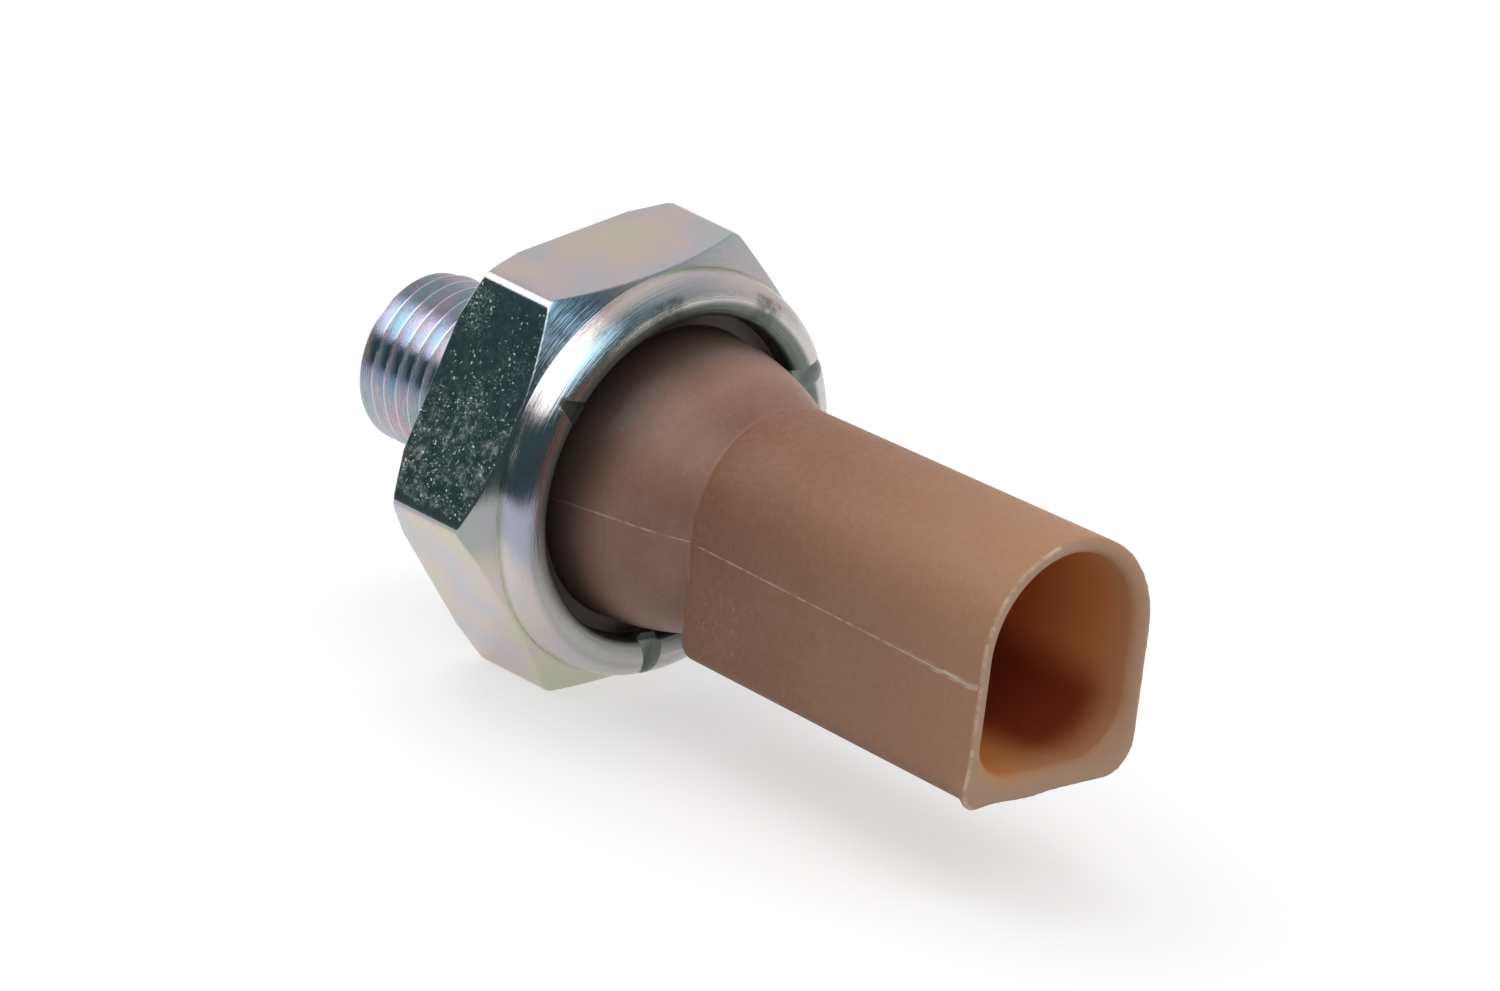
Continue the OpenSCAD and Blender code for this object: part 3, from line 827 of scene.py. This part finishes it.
def build():
    steel = plated_steel()
    brown = brown_plastic()
    body = solid("stud_and_hexagon", [hexagon_and_collar()] + stud(), steel, sharp=38)
    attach(body, "body")
    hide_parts("hex_body")
    socket = solid("neck_and_socket", [housing()], brown)
    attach(socket, "body")
    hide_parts("connector_housing")
    stock = {
        "seal_washer": plain_material("washer_metal", (0.66, 0.67, 0.68), 1.0, 0.38),
        "housing_o_ring": plain_material("rubber", (0.03, 0.03, 0.03), 0.0, 0.6),
        "terminal_blade": plain_material("tinned_brass", (0.75, 0.68, 0.50), 1.0, 0.3),
        "spring_seat": plain_material("seat_steel", (0.60, 0.61, 0.62), 1.0, 0.35),
        "contact_spring": plain_material("spring_steel", (0.45, 0.45, 0.46), 1.0, 0.3),
        "contact_disc": plain_material("contact_brass", (0.72, 0.55, 0.28), 1.0, 0.28),
        "tappet": plain_material("pale_plastic", (0.75, 0.72, 0.62), 0.0, 0.45),
        "contact_plate": plain_material("plate_brass", (0.70, 0.54, 0.30), 1.0, 0.32),
        "diaphragm": plain_material("film", (0.55, 0.24, 0.04), 0.0, 0.2),
        "diaphragm_seal": plain_material("seal_rubber", (0.035, 0.035, 0.035), 0.0, 0.6),
    }
    for name, looks in stock.items():
        node = frame["nodes"][name]
        for slot in node.material_slots:
            slot.material = looks


def floor():
    """A pale floor under the lowest corner. The camera sees it as white, apart from the object's shadow. Mirror rays
    see it pale, with painted shade on the camera's side: bluish and darker from about 30 mm out, near black beyond
    about 50 mm.
    """
    low = cad_box[0][2]
    bm = bmesh.new()
    bmesh.ops.create_circle(bm, cap_ends=True, segments=96, radius=2.5)
    mesh = bpy.data.meshes.new("floor")
    bm.to_mesh(mesh)
    bm.free()
    plane = bpy.data.objects.new("floor", mesh)
    plane.location = (0, 0, low)
    bpy.context.scene.collection.objects.link(plane)
    made, nodes, links, shader = material("pale_floor")
    shader.inputs["Roughness"].default_value = 0.9
    shader.inputs["Specular IOR Level"].default_value = 0.0
    rays = nodes.new("ShaderNodeLightPath")
    seen = math_node(nodes, links, "MAXIMUM", rays.outputs["Is Camera Ray"], rays.outputs["Is Transmission Ray"])
    seen = math_node(nodes, links, "MULTIPLY", seen, 0.55)
    away = nodes.new("ShaderNodeVectorMath")
    away.operation = "LENGTH"
    links.new(place(nodes), away.inputs[0])
    parts = nodes.new("ShaderNodeSeparateXYZ")
    links.new(place(nodes), parts.inputs[0])
    bearing = math_node(nodes, links, "ARCTAN2", parts.outputs["Y"], parts.outputs["X"])
    # Painted shade for mirror rays only: on the camera's side the floor turns bluish and darker from about 30 mm out,
    # and near black beyond about 50 mm.
    dim = product(
        nodes, links, near_angle(nodes, links, bearing, -60, 70, 90),
        span(nodes, links, away.outputs["Value"], 0.045, 0.062, 0, 1, True))
    near = product(
        nodes, links, near_angle(nodes, links, bearing, -60, 50, 100),
        span(nodes, links, away.outputs["Value"], 0.018, 0.030, 0, 1, True))
    lit = mix_colour(nodes, links, near, (0.67, 0.63, 0.56), (0.50, 0.57, 0.68))
    pale = mix_colour(nodes, links, rays.outputs["Is Glossy Ray"], (0.6, 0.6, 0.6), mix_colour(
        nodes, links, dim, lit, (0.05, 0.085, 0.095)))
    links.new(pale, shader.inputs["Base Color"])
    mirrored = product(
        nodes, links, rays.outputs["Is Glossy Ray"], math_node(nodes, links, "SUBTRACT", 1, dim),
        span(nodes, links, near, 0, 1, 0.42, 0.16))
    shader.inputs["Emission Color"].default_value = (1, 1, 1, 1)
    links.new(math_node(nodes, links, "ADD", seen, mirrored), shader.inputs["Emission Strength"])
    mesh.materials.append(made)


def world():
    """Soft studio: white to the camera and even grey for diffuse light. Mirrors see a long softbox over the
    camera's left shoulder in a dark room, a grey ceiling, and a pale backdrop behind."""
    made = bpy.data.worlds.new("studio")
    made.use_nodes = True
    nodes, links = made.node_tree.nodes, made.node_tree.links
    back = nodes["Background"]
    way = nodes.new("ShaderNodeTexCoord").outputs["Generated"]
    parts = nodes.new("ShaderNodeSeparateXYZ")
    links.new(way, parts.inputs[0])
    x, y, z = parts.outputs
    bearing = math_node(nodes, links, "ARCTAN2", y, x)
    turn = span(nodes, links, bearing, -math.pi, math.pi, 0, 1)

    def round_about(*stops):
        return ramp(nodes, links, turn, [((degrees + 180) / 360, colour) for degrees, colour in stops])

    def height(low, high):
        return span(nodes, links, z, *(math.sin(math.radians(v)) for v in (low, high)), 0, 1, True)

    walls = round_about(
        (-180, (0.70, 0.66, 0.62)), (-157, (0.66, 0.64, 0.60)), (-145, (0.040, 0.075, 0.085)),
        (12, (0.040, 0.075, 0.085)), (38, (0.22, 0.28, 0.30)), (64, (0.68, 0.63, 0.58)),
        (150, (0.76, 0.71, 0.67)), (180, (0.72, 0.68, 0.64)))
    ceiling = round_about(
        (-180, (0.72, 0.63, 0.60)), (-138, (0.70, 0.63, 0.60)), (-100, (0.56, 0.55, 0.56)),
        (-30, (0.22, 0.30, 0.34)), (6, (0.10, 0.17, 0.21)), (48, (0.38, 0.44, 0.47)),
        (100, (0.50, 0.50, 0.52)), (140, (0.74, 0.70, 0.67)), (180, (0.72, 0.63, 0.60)))
    mirror = mix_colour(nodes, links, height(26, 46), walls, ceiling)
    glow = round_about((-180, (2.2, 2.2, 2.2)), (-76, (2.2, 2.2, 2.2)), (-42, (1.15, 1.75, 2.1)), (180, (0.9, 1.4, 1.7)))
    ends = product(
        nodes, links, span(nodes, links, turn, 4 / 360, 16 / 360, 0, 1, True),
        span(nodes, links, turn, 188 / 360, 160 / 360, 0, 1, True))
    lifted = math_node(nodes, links, "SUBTRACT", z, span(nodes, links, turn, 110 / 360, 170 / 360, 0, 0.10, True))
    box = product(nodes, links, ends, span(nodes, links, lifted, 0.36, 0.52, 0, 1, True), height(72, 63))
    mirror = mix_colour(nodes, links, box, mirror, glow)
    rays = nodes.new("ShaderNodeLightPath")
    rise = span(nodes, links, z, -0.1, 0.9, 0, 1, True)
    soft = mix_colour(nodes, links, rise, (0.30, 0.30, 0.30), (0.70, 0.70, 0.70))
    seen = mix_colour(nodes, links, rays.outputs["Is Glossy Ray"], soft, mirror)
    seen = mix_colour(nodes, links, math_node(
        nodes, links, "MAXIMUM", rays.outputs["Is Camera Ray"], rays.outputs["Is Transmission Ray"]),
        seen, (1.0, 1.0, 1.0))
    links.new(seen, back.inputs["Color"])
    bpy.context.scene.world = made


def lamp(name, place_mm, aim_mm, size, power, colour=(1, 1, 1)):
    light = bpy.data.lights.new(name, "AREA")
    light.shape = "RECTANGLE"
    light.size, light.size_y = size
    light.energy = power
    light.color = colour
    holder = bpy.data.objects.new(name, light)
    spot, aim = Vector(place_mm) * MM, Vector(aim_mm) * MM
    holder.location = spot
    holder.rotation_euler = (aim - spot).to_track_quat("-Z", "Y").to_euler()
    holder.visible_glossy = False
    bpy.context.scene.collection.objects.link(holder)
    return holder


def camera():
    a, e, roll = (math.radians(v) for v in (view_azimuth, view_elevation, view_roll))
    back = Vector((math.sin(a) * math.cos(e), -math.cos(a) * math.cos(e), math.sin(e)))
    level = Vector((math.cos(a), math.sin(a), 0))
    above = back.cross(level)
    right = level * math.cos(roll) + above * math.sin(roll)
    up = back.cross(right)
    spot = hex_front + back * view_distance
    aim = hex_front + right * ((image_w / 2 - hex_front_px[0]) / pixels_per_mm)
    aim -= up * ((image_h / 2 - hex_front_px[1]) / pixels_per_mm)
    back = (spot - aim).normalized()
    right = (right - back * right.dot(back)).normalized()
    up = back.cross(right)
    data = bpy.data.cameras.new("camera")
    data.sensor_width = 36
    data.lens = 36 * pixels_per_mm * view_distance / image_w
    data.clip_start, data.clip_end = 0.01, 20
    holder = bpy.data.objects.new("camera", data)
    holder.matrix_world = Matrix.Translation(spot * MM) @ Matrix((right, up, back)).transposed().to_4x4()
    bpy.context.scene.collection.objects.link(holder)
    bpy.context.scene.camera = holder


build()
floor()
world()
lamp("overhead_softbox", (-180, -20, 400), (10, 0, 0), (0.5, 0.35), 0.65)
camera()
view = bpy.context.scene.view_settings
view.view_transform = "Standard"
